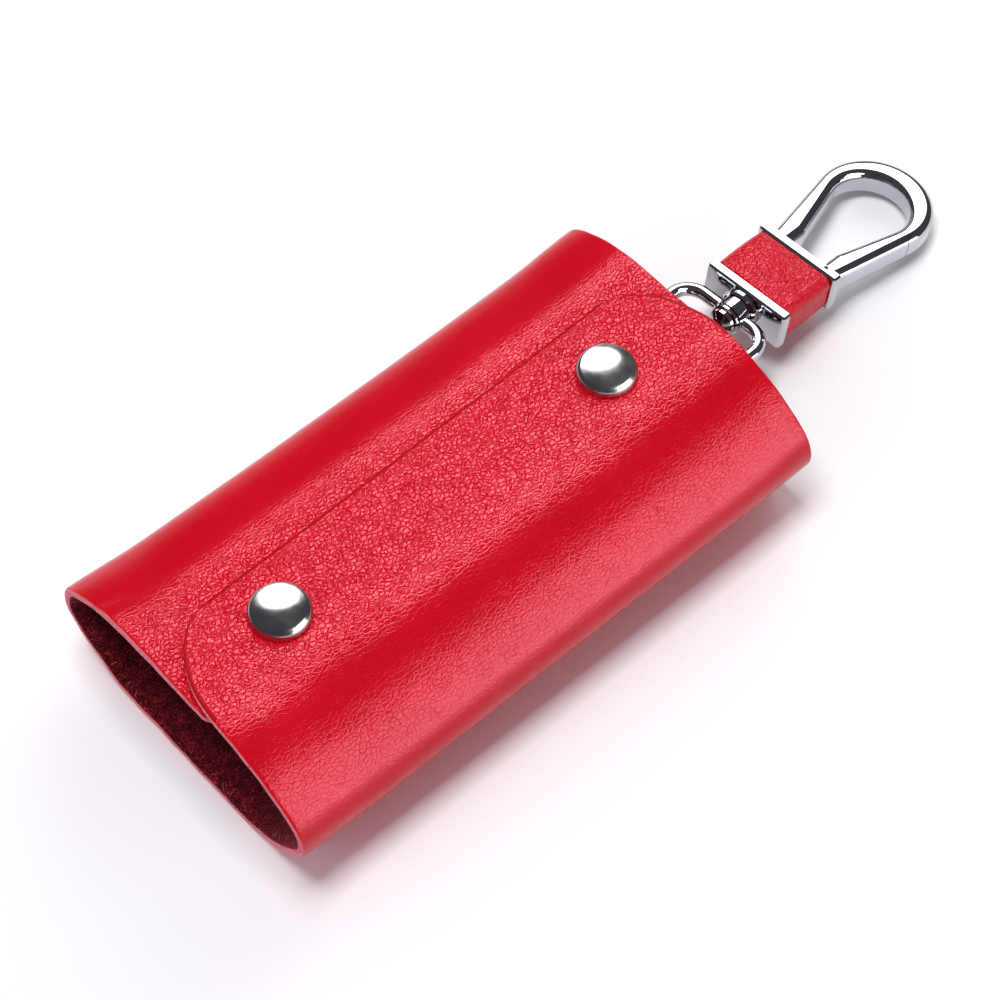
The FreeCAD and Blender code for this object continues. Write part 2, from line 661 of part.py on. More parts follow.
def end_plate(x):
    plate = box((x, -BAR_WIDTH / 2, -BAR_HEIGHT / 2), (x + BAR_THICKNESS, BAR_WIDTH / 2, BAR_HEIGHT / 2))
    return plate.makeChamfer(BAR_EDGE, plate.Edges)


def make_clip_body():
    """Casting: two end plates, the core inside the sleeve and the fixed side of the loop."""
    half_width = SLEEVE_WIDTH / 2 - SLEEVE_LEATHER
    half_height = SLEEVE_HEIGHT / 2 - SLEEVE_LEATHER
    core = box((BAR_1 + BAR_EDGE, -half_width, -half_height),
               (BAR_2 + BAR_THICKNESS - BAR_EDGE, half_width, half_height))
    fixed = whole_loop().cut(seam_block(0))
    root_side = LOOP_ROOT_HALF_WIDTH - LOOP_SHIFT - BAR_EDGE
    rounded_height = LOOP_HEIGHT / 2 - LOOP_EDGE
    overlap = box((LOOP_START - BAR_EDGE, LOOP_OPENING_ROOT_HALF_WIDTH, -rounded_height),
                  (LOOP_START + BAR_EDGE, root_side, rounded_height))
    body = end_plate(BAR_1).fuse([core, end_plate(BAR_2), overlap, fixed])
    body = body.cut(gate_slot())
    body = body.cut(rod(GATE_PIN_RADIUS + SNUG, gate_pin_foot(), UP, BAR_HEIGHT))
    body = body.cut(rod(SWIVEL_RADIUS + SNUG, Vector(BAR_1, 0, 0), ALONG, SWIVEL_TAIL + SNUG))
    return on_clip(body.removeSplitter())


def make_clip_gate():
    """Sprung side of the loop, with a barrel on the pin and relief where it swings past the plate."""
    gate = whole_loop().common(seam_block(-GATE_SEAM))
    slack = box((LOOP_START - SNUG, -BAR_WIDTH, -BAR_HEIGHT), (LOOP_START + SIDE_PLAY, 0, BAR_HEIGHT))
    lean = math.tan(math.radians(GATE_RELIEF))
    start = LOOP_START + SIDE_PLAY
    relief = prism([
        Vector(start, GATE_PIN_Y, -BAR_HEIGHT),
        Vector(start - lean * GATE_PIN_Y, 0, -BAR_HEIGHT),
        Vector(start, 0, -BAR_HEIGHT),
    ], 2 * BAR_HEIGHT, UP)
    gate = gate.cut(slack).cut(relief)
    low = -GATE_BARREL_HEIGHT / 2
    barrel = rod(GATE_BARREL_RADIUS, Vector(GATE_PIN_X, GATE_PIN_Y, low), UP, GATE_BARREL_HEIGHT)
    tongue_end = start + GATE_BARREL_RADIUS
    tongue = box((GATE_PIN_X, GATE_PIN_Y - GATE_BARREL_RADIUS, low),
                 (tongue_end, GATE_PIN_Y + GATE_BARREL_RADIUS / 2, -low))
    gate = gate.fuse([barrel, tongue])
    gate = gate.cut(rod(GATE_PIN_RADIUS + RUNNING, gate_pin_foot(), UP, BAR_HEIGHT))
    return on_clip(gate.removeSplitter())


def make_gate_pin():
    return on_clip(rod(GATE_PIN_RADIUS, gate_pin_foot(), UP, BAR_HEIGHT - 2 * BAR_EDGE))


def make_gate_spring():
    """Leaf that stands in the pocket and presses the gate's tongue outwards."""
    side = GATE_PIN_Y + GATE_BARREL_RADIUS + SIDE_PLAY
    leaf = box((GATE_PIN_X - GATE_BARREL_RADIUS, side, -GATE_BARREL_HEIGHT / 2),
               (LOOP_START - SIDE_PLAY, side + GATE_SPRING, GATE_BARREL_HEIGHT / 2))
    return on_clip(leaf)


def make_clip_sleeve():
    """Band of leather wrapped round the clip's core, between the end plates."""
    def band(width, height, corner):
        block = box((SLEEVE_START + SNUG, -width / 2, -height / 2), (BAR_2 - SNUG, width / 2, height / 2))
        long_edges = [edge for edge in block.Edges if abs(edge.Length - SLEEVE_LENGTH + 2 * SNUG) < SNUG
                      and abs(edge.Vertexes[0].X - edge.Vertexes[1].X) > SNUG]
        return block.makeFillet(corner, long_edges) if corner else block

    hollow_width = SLEEVE_WIDTH - 2 * SLEEVE_LEATHER + 2 * SNUG
    hollow_height = SLEEVE_HEIGHT - 2 * SLEEVE_LEATHER + 2 * SNUG
    sleeve = band(SLEEVE_WIDTH, SLEEVE_HEIGHT, SLEEVE_CORNER).cut(band(hollow_width, hollow_height, 0))
    return on_clip(sleeve.cut(gate_slot()))


def pair(make, places):
    return Part.makeCompound([make(place) for place in places])


def all_parts():
    parts = {
        "back_panel": make_back_panel(),
        "outer_flap": make_outer_flap(),
        "inner_flap": make_inner_flap(),
        "snap_caps": pair(make_snap_cap, SNAP_X),
        "snap_sockets": pair(make_snap_socket, SNAP_X),
        "snap_studs": pair(make_snap_stud, SNAP_X),
        "snap_posts": pair(make_snap_post, SNAP_X),
        "key_plate": make_key_plate(),
        "plate_rivets": pair(make_plate_rivet, RIVET_Y),
        "link_ring": make_link_ring(),
        "swivel_washer": make_swivel_washer(),
        "swivel_post": make_swivel_post(),
        "clip_body": make_clip_body(),
        "clip_sleeve": make_clip_sleeve(),
        "clip_gate": make_clip_gate(),
        "gate_pin": make_gate_pin(),
        "gate_spring": make_gate_spring(),
    }
    for i, y in enumerate(HOOK_Y):
        parts["key_hook_%d" % (i + 1)] = make_key_hook(y)
        parts["key_gate_%d" % (i + 1)] = make_key_gate(y)
    return parts


os.makedirs("parts", exist_ok=True)
for name, shape in all_parts().items():
    shape.exportStep("parts/%s.step" % name)
    low = shape.BoundBox
    print("%-14s solids %d valid %s volume %.1f  x %.2f..%.2f  y %.2f..%.2f  z %.2f..%.2f" % (
        name, len(shape.Solids), shape.isValid(), shape.Volume,
        low.XMin, low.XMax, low.YMin, low.YMax, low.ZMin, low.ZMax))
print("clip pitch %.3f degrees" % clip_pitch())
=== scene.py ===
import json
import math
import random
import bmesh
import bpy
from mathutils import Matrix, Vector, noise


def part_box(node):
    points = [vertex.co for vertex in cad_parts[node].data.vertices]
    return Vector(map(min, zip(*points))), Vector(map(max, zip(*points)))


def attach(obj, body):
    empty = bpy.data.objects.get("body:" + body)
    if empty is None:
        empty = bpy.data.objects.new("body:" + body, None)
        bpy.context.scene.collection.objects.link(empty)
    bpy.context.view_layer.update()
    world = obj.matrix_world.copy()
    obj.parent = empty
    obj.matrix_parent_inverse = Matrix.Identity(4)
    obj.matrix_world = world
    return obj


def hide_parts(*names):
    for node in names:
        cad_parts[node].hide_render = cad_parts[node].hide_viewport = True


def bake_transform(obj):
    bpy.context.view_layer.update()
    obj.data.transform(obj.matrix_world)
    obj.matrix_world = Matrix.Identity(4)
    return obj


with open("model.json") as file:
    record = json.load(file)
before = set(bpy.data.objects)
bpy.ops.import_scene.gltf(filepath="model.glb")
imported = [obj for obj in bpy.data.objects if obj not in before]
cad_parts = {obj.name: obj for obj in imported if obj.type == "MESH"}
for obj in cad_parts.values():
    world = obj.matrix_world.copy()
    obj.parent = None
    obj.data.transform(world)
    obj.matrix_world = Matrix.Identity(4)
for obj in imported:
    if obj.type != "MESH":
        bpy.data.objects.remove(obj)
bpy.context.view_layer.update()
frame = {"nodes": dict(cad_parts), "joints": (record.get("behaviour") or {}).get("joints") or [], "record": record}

# A closed leather key case with a swivel clip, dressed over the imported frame. Sizes are in
# millimetres, times MM where Blender needs metres. Those of the lights are in metres.
MM = 0.001

# Camera, from the photograph's viewing angle
CAMERA_AZIMUTH = math.radians(-41.665)
CAMERA_ELEVATION = math.radians(56.918)
CAMERA_DISTANCE = 479.73
CAMERA_TARGET = Vector((11.92, 0.11, 8.0))
CAMERA_CLIP_START = 10.0
FOCAL_LENGTH = 108.07
SENSOR_WIDTH = 36.0

# Light from all round, and the faint violet of the fills
WORLD_COLOUR = (0.88, 0.84, 1.0, 1.0)
WORLD_STRENGTH = 0.08
FILL_COLOUR = (0.94, 0.90, 1.0)

# Softboxes: name, direction from the case, distance, size, radiance, and what differs from a
# white rectangle that shows in reflections and lights everything
SOFTBOXES = (
    ("window", (0.37, 0.35, 0.86), 0.9, (0.9, 0.33), 13.8, {"lights": False, "metal": "EXCLUDE"}),
    ("right_box", (0.33, -0.74, 0.56), 0.8, (0.5, 0.5), 7.5, {"lights": False}),
    ("right_low", (0.33, -0.92, 0.18), 0.8, (0.8, 0.34), 2.7, {}),
    ("backdrop", (0.80, 0.46, 0.40), 1.0, (0.8, 0.8), 2.6, {"mirrored": False}),
    ("far_box", (0.405, 0.623, 0.669), 1.0, (1.0, 1.0), 3.2,
     {"lights": False, "metal": "INCLUDE", "shape": "ELLIPSE"}),
    ("key", (-0.08, 0.10, 0.99), 1.0, (0.5, 0.35), 13.0, {"mirrored": False}),
    ("front_fill", (-0.92, 0.10, 0.36), 1.0, (0.9, 0.9), 1.9,
     {"colour": FILL_COLOUR, "mirrored": False}),
    ("left_fill", (-0.30, 0.80, 0.50), 1.0, (0.9, 0.9), 0.3,
     {"colour": FILL_COLOUR, "mirrored": False}),
)

# Floor, with its colours by the level of a mottle
FLOOR_SIZE = 3000.0
FLOOR_COLOURS = ((0.2, (0.90, 0.89, 0.91)), (0.8, (0.93, 0.92, 0.94)))

# Platings by the frame's slots: name, colour, roughness and strength of the handling marks
METALS = {
    "chrome_clip": ("mirror_chrome", (0.56, 0.57, 0.60), 0.05, 0.15),
    "nickel_snaps": ("polished_nickel", (0.56, 0.55, 0.54), 0.20, 0.25),
    "nickel_plate": ("nickel_plate", (0.72, 0.71, 0.69), 0.22, 0.4),
    "spring_steel": ("spring_steel", (0.52, 0.52, 0.54), 0.30, 0.4),
}
SMUDGE_LEAST = 0.7
SMUDGE_MOST = 1.5
SMUDGE_TINT = 0.94
MARK_DEPTH = 0.02

# Leather, as cut and folded
LEATHER = 1.8
FOLD_HEIGHT = 12.0
BACK_HALF_FLAT = 11.5
OUTER_FOLD_RADIUS = 6.0
INNER_FOLD_RADIUS = 7.0
CROWN_HALF_FLAT = 5.0
FLAP_GAP = 0.5
EDGE_GAP = 0.25
OUTER_EDGE_Y = 10.1
OUTER_EDGE_SKEW = 2.4
OUTER_CORNER = 13.0
OUTER_CORNER_RUN = 19.0
INNER_SHOULDER_Y = 11.5
INNER_EDGE_Y = -8.5
INNER_CORNER = 2.5
INNER_CORNER_RUN = 2.5
SKEW_FADE = 30.0

# How worn leather departs from the plain folded form
MOUTH_FLARE = 1.5
FLARE_REACH = 15.0
WAIST = 0.6
RIPPLE = 0.10
RIPPLE_LENGTH = 16.0
EDGE_WANDER = 0.15
WANDER_LENGTH = 5.0
WANDER_TURNS = 7.0
WANDER_POWER = 12

# The flap's corner at the near mouth, lifted a little
CORNER_LIFT = 0.7
LIFT_ALONG = 14.0
LIFT_START_Y = -2.0
LIFT_ACROSS = 10.0
LIFT_DEPTH = 1.0

# Leather pillowed round the snap caps
PILLOW = 0.22
PILLOW_START = 5.0
PILLOW_PEAK = 7.5
PILLOW_END = 14.0
PILLOW_FADE = 5.0

# Leather band round the clip's bar: the joints whose axes it follows, the corners and flats of
# its section, and its form
BAND_AXES = ("clip_swivel", "ring_hinge", "clip_gate_hinge")
BAND_CORNERS = ((1, 1), (-1, 1), (-1, -1), (1, -1))
BAND_FLATS = ((0, 1), (-1, 0), (0, -1), (1, 0))
BAND_WALL = 0.65
BAND_CORNER = 1.5
BAND_LEAST_CORNER = 0.1
BAND_BULGE = 0.18
BAND_BULGE_POWER = 3
BAND_CRUMPLE = 0.05
CRUMPLE_LENGTH = 2.5
BAND_STEP = 0.7
BAND_END_STEPS = (0.0, 0.1, 0.25, 0.45)
BAND_CORNER_STEPS = 6
BAND_FLAT_STEPS = 12

# Loose fibres on the cut edges of the mouths; roots are shares of the way to the flesh side
FIBRES_NEAR = 420
FIBRES_FAR = 200
FIBRE_ROOTS = (0.35, 1.0)
FIBRE_ROOT_DEPTH = 0.05
FIBRE_LENGTH = (0.4, 1.5)
FIBRE_LENGTH_POWER = 1.5
FIBRE_SPREAD = 0.9
FIBRE_LEAN = (-0.1, 0.9)
FIBRE_CURL = 0.55
FIBRE_TILT = 0.3
FIBRE_RADIUS = 0.05
FIBRE_TAPER = 0.75
FIBRE_STEPS = 4
FIBRE_SIDES = 3
FIBRE_SEED = 11

# Leather coordinates run along X and along the section, in units of 100 mm
UV_UNIT = 100.0

# Depth of the grain along the leather, from the outer flap's edge over both folds to the inner
# flap's edge. The middle of the back lies at GRAIN_MIDDLE, and each unit away adds GRAIN_PACE.
GRAIN_MIDDLE = 0.5
GRAIN_PACE = 0.6
GRAIN_STRENGTH = (
    (0.0, 1.0), (0.115, 1.0), (0.14, 0.7), (0.155, 0.4), (0.175, 0.17), (0.21, 0.17), (0.235, 0.3),
    (0.28, 0.26), (0.31, 0.2), (0.77, 0.1), (0.805, 0.12), (0.825, 0.36), (0.845, 0.9),
)
BAND_STRENGTH = ((0.5, 0.6), (0.6, 0.9), (0.7, 0.6))

# Pattern of the grain: how its cells are bent, their height by the distance from the rim (creases
# and pebbles) or the middle (specks), and each layer's share of the whole height
WARP_SHIFT = (0.006, 0.006, 0.0)
CELL_TURN = (0.0, 0.0, math.radians(-20))
CELL_STRETCH = (0.72, 1.0, 1.0)
CREASE_LEVELS = ((0.0, 0.0), (0.05, 0.60), (0.11, 0.92), (0.22, 1.0))
CREASE_SHARES = ((0.38, 0.0), (0.62, 0.60))
PEBBLE_LEVELS = ((0.0, 0.0), (0.06, 0.46), (0.15, 0.80), (0.40, 1.0))
PEBBLE_SHARE = 0.52
SPECK_LEVELS = ((0.0, 1.0), (0.30, 0.86), (0.55, 0.42), (0.80, 0.0))
SPECK_SHARE = 0.12
PORE_SHARE = 0.05
GRAIN_DEPTH = 0.18

# Colours and shine of the grain side; the lighter red is partly rubbed wear and partly a painted highlight on the
# crown's pebble tops
HIDE_REDS = ((0.3, (0.50, 0.001, 0.008)), (0.7, (0.56, 0.0018, 0.011)))
RUBBED_AND_HIGHLIGHT_RED = (0.80, 0.006, 0.024, 1.0)
RUBBED_AND_HIGHLIGHT_SHARE = 0.6
HIDE_ROUGHNESS = ((0.3, 0.18), (0.7, 0.25))
RUBBED_POLISH = 0.10
HIDE_SHINE = (1.0, 0.37, 0.46, 1.0)
HIDE_GLOSS = 0.5
BAND_GLOSS = 0.32

# Flesh side; its relief is as strong as that of the cut edges
SUEDE_REDS = (
    (0.43, (0.015, 0.001, 0.001)), (0.51, (0.10, 0.004, 0.008)),
    (0.57, (0.42, 0.018, 0.04)), (0.66, (0.74, 0.08, 0.13)),
)
SUEDE_SHEEN = (0.9, 0.25, 0.3, 1.0)
NAP_SHARE = 0.8
PATCH_SHARE = 0.2
NAP_DEPTH = 0.4
NAP_STRENGTH = 0.9

# Raw cut edges, and the dark line beside them: painted shade along the flap's rounded free edge
EDGE_PINKS = (
    (0.34, (0.42, 0.02, 0.04)), (0.50, (0.85, 0.24, 0.28)), (0.66, (0.95, 0.46, 0.50)),
)
EDGE_DEPTH = 0.3
SHADED_LINE_REDS = ((0.35, (0.34, 0.001, 0.004)), (0.7, (0.46, 0.002, 0.007)))
LINE_ROUGHNESS = ((0.3, 0.35), (0.7, 0.5))
LINE_SHINE = (1.0, 0.36, 0.42, 1.0)

# Material places on each leather piece, and the width of the painted shade line in mesh steps
GRAIN, SUEDE, EDGE, LINE = 0, 1, 2, 3
LINE_ROWS = 4
LINE_COLUMNS = 4

# Holes in the leather for the snaps and the plate's rivets
SOCKET_HOLE = 3.05
POST_HOLE = 1.05
RIVET_HOLE = 1.55
RIVET_HEAD_HOLE = 2.65
RIVET_HEAD_DEPTH = 0.85
HOLE_SIDES = 48

# Mesh steps
STEP_ALONG = 1.0
STEP_AROUND = 1.0
STEP_ANGLE = math.radians(5)
EDGE_STEPS = 5
END_STEPS = (0.0, 0.08, 0.2, 0.36, 0.7)
CORNER_STEPS = 18
SHARP_ANGLE = math.radians(50)

# Form of the cut edges
EDGE_ROUND = 0.35
EDGE_BULGE = 0.12
EDGE_FRAY = 0.16
EDGE_FRAY_LENGTH = 0.5
EDGE_FRAY_LAYERS = 3

# Places taken from the frame
case_high = Vector(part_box("back_panel")[1]) / MM
HALF_LENGTH = case_high.x
HALF_WIDTH = case_high.y
CASE_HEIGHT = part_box("outer_flap")[1][2] / MM
INNER_TOP = CASE_HEIGHT - LEATHER - FLAP_GAP
joints = {joint["name"]: joint for joint in frame["joints"]}
slots = {sub["node"]: sub["material_slot"] for sub in frame["record"]["subparts"]}
rivet_low, rivet_high = (Vector(corner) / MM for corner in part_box("plate_rivets"))
RIVET_X = (rivet_low.x + rivet_high.x) / 2
RIVET_Y = rivet_high.y - (rivet_high.x - rivet_low.x) / 2


def centres(node):
    """Middles in X and Y of a node's two round solids, which stand apart along X."""
    low, high = (Vector(corner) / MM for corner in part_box(node))
    half = (high.y - low.y) / 2
    return [(low.x + half, (low.y + high.y) / 2), (high.x - half, (low.y + high.y) / 2)]


snap_places = centres("snap_caps")


def smooth(t):
    """Ease from 0 to 1 as t goes from 0 to 1."""
    t = min(max(t, 0.0), 1.0)
    return t * t * (3 - 2 * t)


def arc_blend(run, rise, fold_radius):
    """Radius and sweep of the wide arc between a flat and a fold."""
    sweep = 2 * math.atan2(rise - fold_radius, run - fold_radius)
    return fold_radius + (run - fold_radius) / math.sin(sweep), sweep


def fold_section(fold_radius, top_flat_y, top):
    """Outer face from the middle of the back round a fold to the start of the flat on top.

    A section is a list of straight runs (None, length) and arcs (radius, angle).
    """
    wide_back, sweep_back = arc_blend(HALF_WIDTH - BACK_HALF_FLAT, FOLD_HEIGHT, fold_radius)
    wide_top, sweep_top = arc_blend(HALF_WIDTH - top_flat_y, top - FOLD_HEIGHT, fold_radius)
    return [
        (None, BACK_HALF_FLAT),
        (wide_back, sweep_back),
        (fold_radius, math.pi - sweep_back - sweep_top),
        (wide_top, sweep_top),
    ]


def outer_half_section():
    """Outer face from the middle of the back round the -Y fold to the outer flap's edge."""
    reach = OUTER_EDGE_Y - CROWN_HALF_FLAT
    droop = FLAP_GAP - EDGE_GAP
    droop_radius = (reach * reach + droop * droop) / (2 * droop)
    return fold_section(OUTER_FOLD_RADIUS, CROWN_HALF_FLAT, CASE_HEIGHT) + [
        (None, 2 * CROWN_HALF_FLAT),
        (droop_radius, math.asin(reach / droop_radius)),
    ]


def inner_half_section():
    """Outer face from the middle of the back round the +Y fold to the inner flap's edge."""
    run = HALF_WIDTH - CROWN_HALF_FLAT
    over, _ = arc_blend(run, CASE_HEIGHT - FOLD_HEIGHT, OUTER_FOLD_RADIUS)
    under = over - LEATHER - FLAP_GAP
    return fold_section(INNER_FOLD_RADIUS, INNER_SHOULDER_Y, INNER_TOP) + [
        (None, INNER_SHOULDER_Y + CROWN_HALF_FLAT),
        (under, math.asin((-CROWN_HALF_FLAT - INNER_EDGE_Y) / under)),
    ]


def section_point(segments, side, s):
    """Point and outward normal at the length s along a section; side is -1 or +1 in Y."""
    y, z, heading = 0.0, 0.0, 0.0
    for i, (radius, amount) in enumerate(segments):
        length = amount if radius is None else radius * amount
        last = i == len(segments) - 1
        part = s if last else min(s, length)
        if radius is None:
            y += math.cos(heading) * part
            z += math.sin(heading) * part
        else:
            turn = part / radius
            y += radius * (math.sin(heading + turn) - math.sin(heading))
            z += radius * (math.cos(heading) - math.cos(heading + turn))
            heading += turn
        s -= part
        if s <= 0:
            break
    return side * y, z, side * math.sin(heading), -math.cos(heading)


def section_steps(segments, corner):
    """Lengths along a section, closer together where it bends and round the corners of its end."""
    steps = [0.0]
    for radius, amount in segments:
        length = amount if radius is None else radius * amount
        count = math.ceil(length / STEP_AROUND)
        if radius is not None:
            count = max(count, math.ceil(amount / STEP_ANGLE))
        start = steps[-1]
        steps += [start + length * (i + 1) / count for i in range(count)]
    total = steps[-1]
    plain = [s for s in steps if s < total - corner - STEP_AROUND / 2]
    rounded = [math.pi / 2 * (1 - i / CORNER_STEPS) for i in range(CORNER_STEPS + 1)]
    return plain + [total - corner * (1 - math.cos(angle)) for angle in rounded]


def end_spaced():
    """Places along X from one mouth to the other, closer together at the cut ends."""
    inner = HALF_LENGTH - STEP_ALONG
    count = math.ceil(2 * inner / STEP_ALONG)
    near = [d - HALF_LENGTH for d in END_STEPS]
    middle = [-inner + 2 * inner * i / count for i in range(count + 1)]
    far = [HALF_LENGTH - d for d in END_STEPS[::-1]]
    return near + middle + far


def edge_drop(distance):
    """How far a face rounds away at a distance from a cut edge."""
    if distance >= EDGE_ROUND:
        return 0.0
    return EDGE_ROUND - math.sqrt(EDGE_ROUND ** 2 - (EDGE_ROUND - distance) ** 2)


def worn(x, y, z):
    """Move a point of the plain folded form to where handled leather lies, in metres."""
    end = smooth((abs(x) - HALF_LENGTH + FLARE_REACH) / FLARE_REACH)
    z += MOUTH_FLARE * end * z / CASE_HEIGHT
    if y > 0:
        y -= WAIST * (1 - (x / HALF_LENGTH) ** 2) * smooth(y / HALF_WIDTH)
    ripple = noise.noise(Vector((x, y, 0)) / RIPPLE_LENGTH)
    z += RIPPLE * ripple * smooth(z / CASE_HEIGHT)
    for snap_x, snap_y in snap_places:
        away = math.hypot(x - snap_x, y - snap_y)
        rise = smooth((away - PILLOW_START) / (PILLOW_PEAK - PILLOW_START))
        fall = smooth((away - PILLOW_PEAK) / (PILLOW_END - PILLOW_PEAK))
        z += PILLOW * rise * (1 - fall) * smooth((z - FOLD_HEIGHT) / PILLOW_FADE)
    lift = smooth((-x - HALF_LENGTH + LIFT_ALONG) / LIFT_ALONG)
    lift *= smooth((y - LIFT_START_Y) / LIFT_ACROSS)
    lift *= smooth((z - INNER_TOP) / LIFT_DEPTH)
    z += CORNER_LIFT * lift
    return Vector((x, y, z)) * MM


def corner_inset(edge_distance, reach, run):
    """How far a rounded corner draws the ends in, at a distance from the free edge."""
    if edge_distance >= run:
        return 0.0
    return reach * (1 - math.sqrt(1 - (1 - edge_distance / run) ** 2))


def leather_half(name, segments, side, corner, corner_run, skew):
    """Closed leather sheet of one half of the case, and its loose fibres."""
    steps = section_steps(segments, corner_run)
    total = steps[-1]
    places = end_spaced()
    outside = []
    inside = []
    flat = []
    for s in steps:
        inset = corner_inset(total - s, corner, corner_run)
        reach = (HALF_LENGTH - inset) / HALF_LENGTH
        for place in places:
            x = place * reach
            u = place / HALF_LENGTH
            spot = Vector((s / WANDER_LENGTH, u * WANDER_TURNS, side))
            wander = EDGE_WANDER * noise.noise(spot) * abs(u) ** WANDER_POWER
            pull = skew * (HALF_LENGTH - x) / (2 * HALF_LENGTH)
            pull *= smooth(1 - (total - s) / SKEW_FADE)
            y, z, ny, nz = section_point(segments, side, s - pull)
            drop = edge_drop(min(HALF_LENGTH - abs(place), total - s))
            depth = LEATHER - drop
            outside.append(worn(x + wander, y - ny * drop, z - nz * drop))
            inside.append(worn(x + wander, y - ny * depth, z - nz * depth))
            flat.append((x, side * (s - pull)))
    return sheet_mesh(name, outside, inside, flat, len(steps), len(places), side)


def rim_of(rows, columns):
    """Grid points round the border of a sheet, starting along its first row."""
    rim = list(range(columns))
    rim += [r * columns + columns - 1 for r in range(1, rows)]
    rim += [(rows - 1) * columns + c for c in range(columns - 2, -1, -1)]
    rim += [r * columns for r in range(rows - 2, 0, -1)]
    return rim


def rim_directions(outside, inside, rim, side):
    """Directions out of a sheet's cut edge, at the points of its rim."""
    outward = []
    for index, v in enumerate(rim):
        run = outside[rim[(index + 1) % len(rim)]] - outside[rim[index - 1]]
        outward.append(run.cross(inside[v] - outside[v]).normalized() * -side)
    return outward


def sheet_mesh(name, outside, inside, flat, rows, columns, side):
    """Join two grids of points into one piece: grain outside, suede inside, frayed cut edges."""
    points = outside + inside
    flat = flat + flat
    count = len(outside)
    faces = []
    kinds = []

    def add(corners, kind):
        faces.append(corners if side < 0 else corners[::-1])
        kinds.append(kind)

    for r in range(rows - 1):
        for c in range(columns - 1):
            a = r * columns + c
            quad = (a, a + 1, a + columns + 1, a + columns)
            # Faces by the free edge and round its corners take the line of painted shade
            from_end = min(c, columns - 2 - c)
            at_corner = r >= rows - 1 - CORNER_STEPS and from_end < LINE_COLUMNS
            add(quad, LINE if r >= rows - LINE_ROWS or at_corner else GRAIN)
            add(tuple(count + k for k in quad[::-1]), SUEDE)
    rim = rim_of(rows, columns)
    outward = rim_directions(outside, inside, rim, side)
    rings = [rim]
    for k in range(1, EDGE_STEPS):
        t = k / EDGE_STEPS
        rings.append(range(len(points), len(points) + len(rim)))
        for v, direction in zip(rim, outward):
            spot = outside[v] / (EDGE_FRAY_LENGTH * MM) + Vector((0, 0, EDGE_FRAY_LAYERS * t))
            swell = EDGE_BULGE * math.sin(math.pi * t) + EDGE_FRAY * noise.noise(spot)
            # The two halves meet flush along the first row
            if v < columns:
                swell = 0.0
            points.append(outside[v].lerp(inside[v], t) + direction * swell * MM)
            flat.append((flat[v][0] + t * LEATHER, flat[v][1]))
    rings.append([count + v for v in rim])
    for first, second in zip(rings, rings[1:]):
        for index in range(len(rim)):
            following = (index + 1) % len(rim)
            add((first[following], first[index], second[index], second[following]), EDGE)
    piece = add_object(name, new_mesh(name, points, faces, kinds, flat))
    return piece, fibre_mesh(outside, inside, outward, flat, rim, columns, side)


def tube_faces(first, rings, sides):
    """Faces of a closed tube, whose rings of points follow one another from the index first."""
    faces = []
    for ring in range(rings - 1):
        a = first + ring * sides
        b = a + sides
        for k in range(sides):
            d = (k + 1) % sides
            faces.append((a + k, a + d, b + d, b + k))
    last = first + (rings - 1) * sides
    faces.append(tuple(range(first + sides - 1, first - 1, -1)))
    faces.append(tuple(range(last, last + sides)))
    return faces


def fibre_mesh(outside, inside, outward, flat, rim, columns, side):
    """Loose fibres along the two mouths of a sheet."""
    points = []
    spots = []
    faces = []
    chance = random.Random(FIBRE_SEED + side)
    for end, amount in ((0, FIBRES_NEAR), (columns - 1, FIBRES_FAR)):
        mouth = [i for i, v in enumerate(rim) if v % columns == end]
        for _ in range(amount):
            index = chance.choice(mouth)
            v = rim[index]
            base = outside[v].lerp(inside[v], chance.uniform(*FIBRE_ROOTS))
            along = (outside[rim[(index + 1) % len(rim)]] - outside[v]).normalized()
            through = (inside[v] - outside[v]).normalized()
            fibre = fibre_points(base, outward[index], along, through, chance)
            faces += tube_faces(len(points), FIBRE_STEPS + 1, FIBRE_SIDES)
            points += fibre
            spots += [flat[v]] * len(fibre)
    return new_mesh("fibres", points, faces, [EDGE] * len(faces), spots)


def fibre_points(base, outward, along, through, chance):
    """Points, ring by ring, of one thin curled fibre that stands out of a cut edge."""
    length = chance.uniform(*FIBRE_LENGTH) ** FIBRE_LENGTH_POWER * MM
    heading = outward + along * chance.uniform(-FIBRE_SPREAD, FIBRE_SPREAD)
    heading += through * chance.uniform(*FIBRE_LEAN)
    heading.normalize()
    curl = (along * chance.uniform(-1, 1) + through * chance.uniform(-1, 1)) * FIBRE_CURL
    base = base - outward * FIBRE_ROOT_DEPTH * MM
    side = heading.cross(along + outward * FIBRE_TILT).normalized()
    other = heading.cross(side).normalized()
    points = []
    for k in range(FIBRE_STEPS + 1):
        t = k / FIBRE_STEPS
        middle = base + (heading + curl * t) * length * t
        thin = FIBRE_RADIUS * MM * (1 - FIBRE_TAPER * t)
        for j in range(FIBRE_SIDES):
            angle = 2 * math.pi * j / FIBRE_SIDES
            points.append(middle + (side * math.cos(angle) + other * math.sin(angle)) * thin)
    return points


def new_mesh(name, points, faces, kinds, flat):
    """Smooth mesh with sharp corners, a material place for each face and leather coordinates."""
    mesh = bpy.data.meshes.new(name)
    mesh.from_pydata([tuple(p) for p in points], [], faces)
    mesh.polygons.foreach_set("material_index", kinds)
    mesh.polygons.foreach_set("use_smooth", [True] * len(mesh.polygons))
    layer = mesh.uv_layers.new(name="leather")
    for loop in mesh.loops:
        x, s = flat[loop.vertex_index]
        layer.data[loop.index].uv = (x / UV_UNIT, s / UV_UNIT)
    mesh.update()
    mesh.set_sharp_from_angle(angle=SHARP_ANGLE)
    return mesh


def add_object(name, data):
    """New object in the scene."""
    thing = bpy.data.objects.new(name, data)
    bpy.context.scene.collection.objects.link(thing)
    return thing


def band_spans(origin, axes):
    """Least and greatest reach of the band's solid along each axis."""
    solid = frame["nodes"]["clip_sleeve"].data.vertices
    spans = []
    for axis in axes:
        reach = [(v.co - origin).dot(axis) / MM for v in solid]
        spans.append((min(reach), max(reach)))
    return spans


